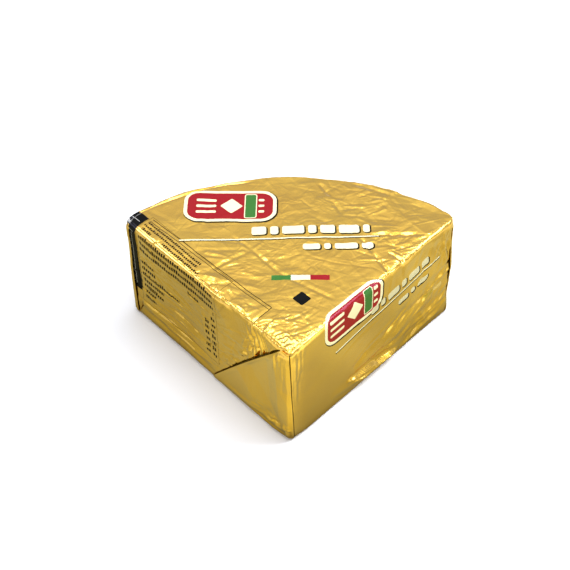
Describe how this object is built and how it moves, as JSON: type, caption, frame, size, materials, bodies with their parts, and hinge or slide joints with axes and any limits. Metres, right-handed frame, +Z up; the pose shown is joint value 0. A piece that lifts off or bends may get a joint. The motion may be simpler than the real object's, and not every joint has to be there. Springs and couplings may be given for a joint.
{
  "type": "foil-wrapped blue cheese wedge",
  "caption": "Quarter slice of half a blue cheese wheel, shut in crinkled gold foil with an envelope fold beside its tip.",
  "frame": {"origin": "middle of the bounding box of the flat base", "axes": "+Z up; +Y from the wedge's tip to its round heel; +X to the right as seen from the tip"},
  "size_m": [0.2038, 0.1538, 0.08],
  "materials": {
    "gold_foil": "satin gold packaging foil with crinkles, and printed patches in red, cream, green and black"
  },
  "bodies": {
    "root": {"wrapped_wedge": "gold_foil"}
  },
  "joints": []
}
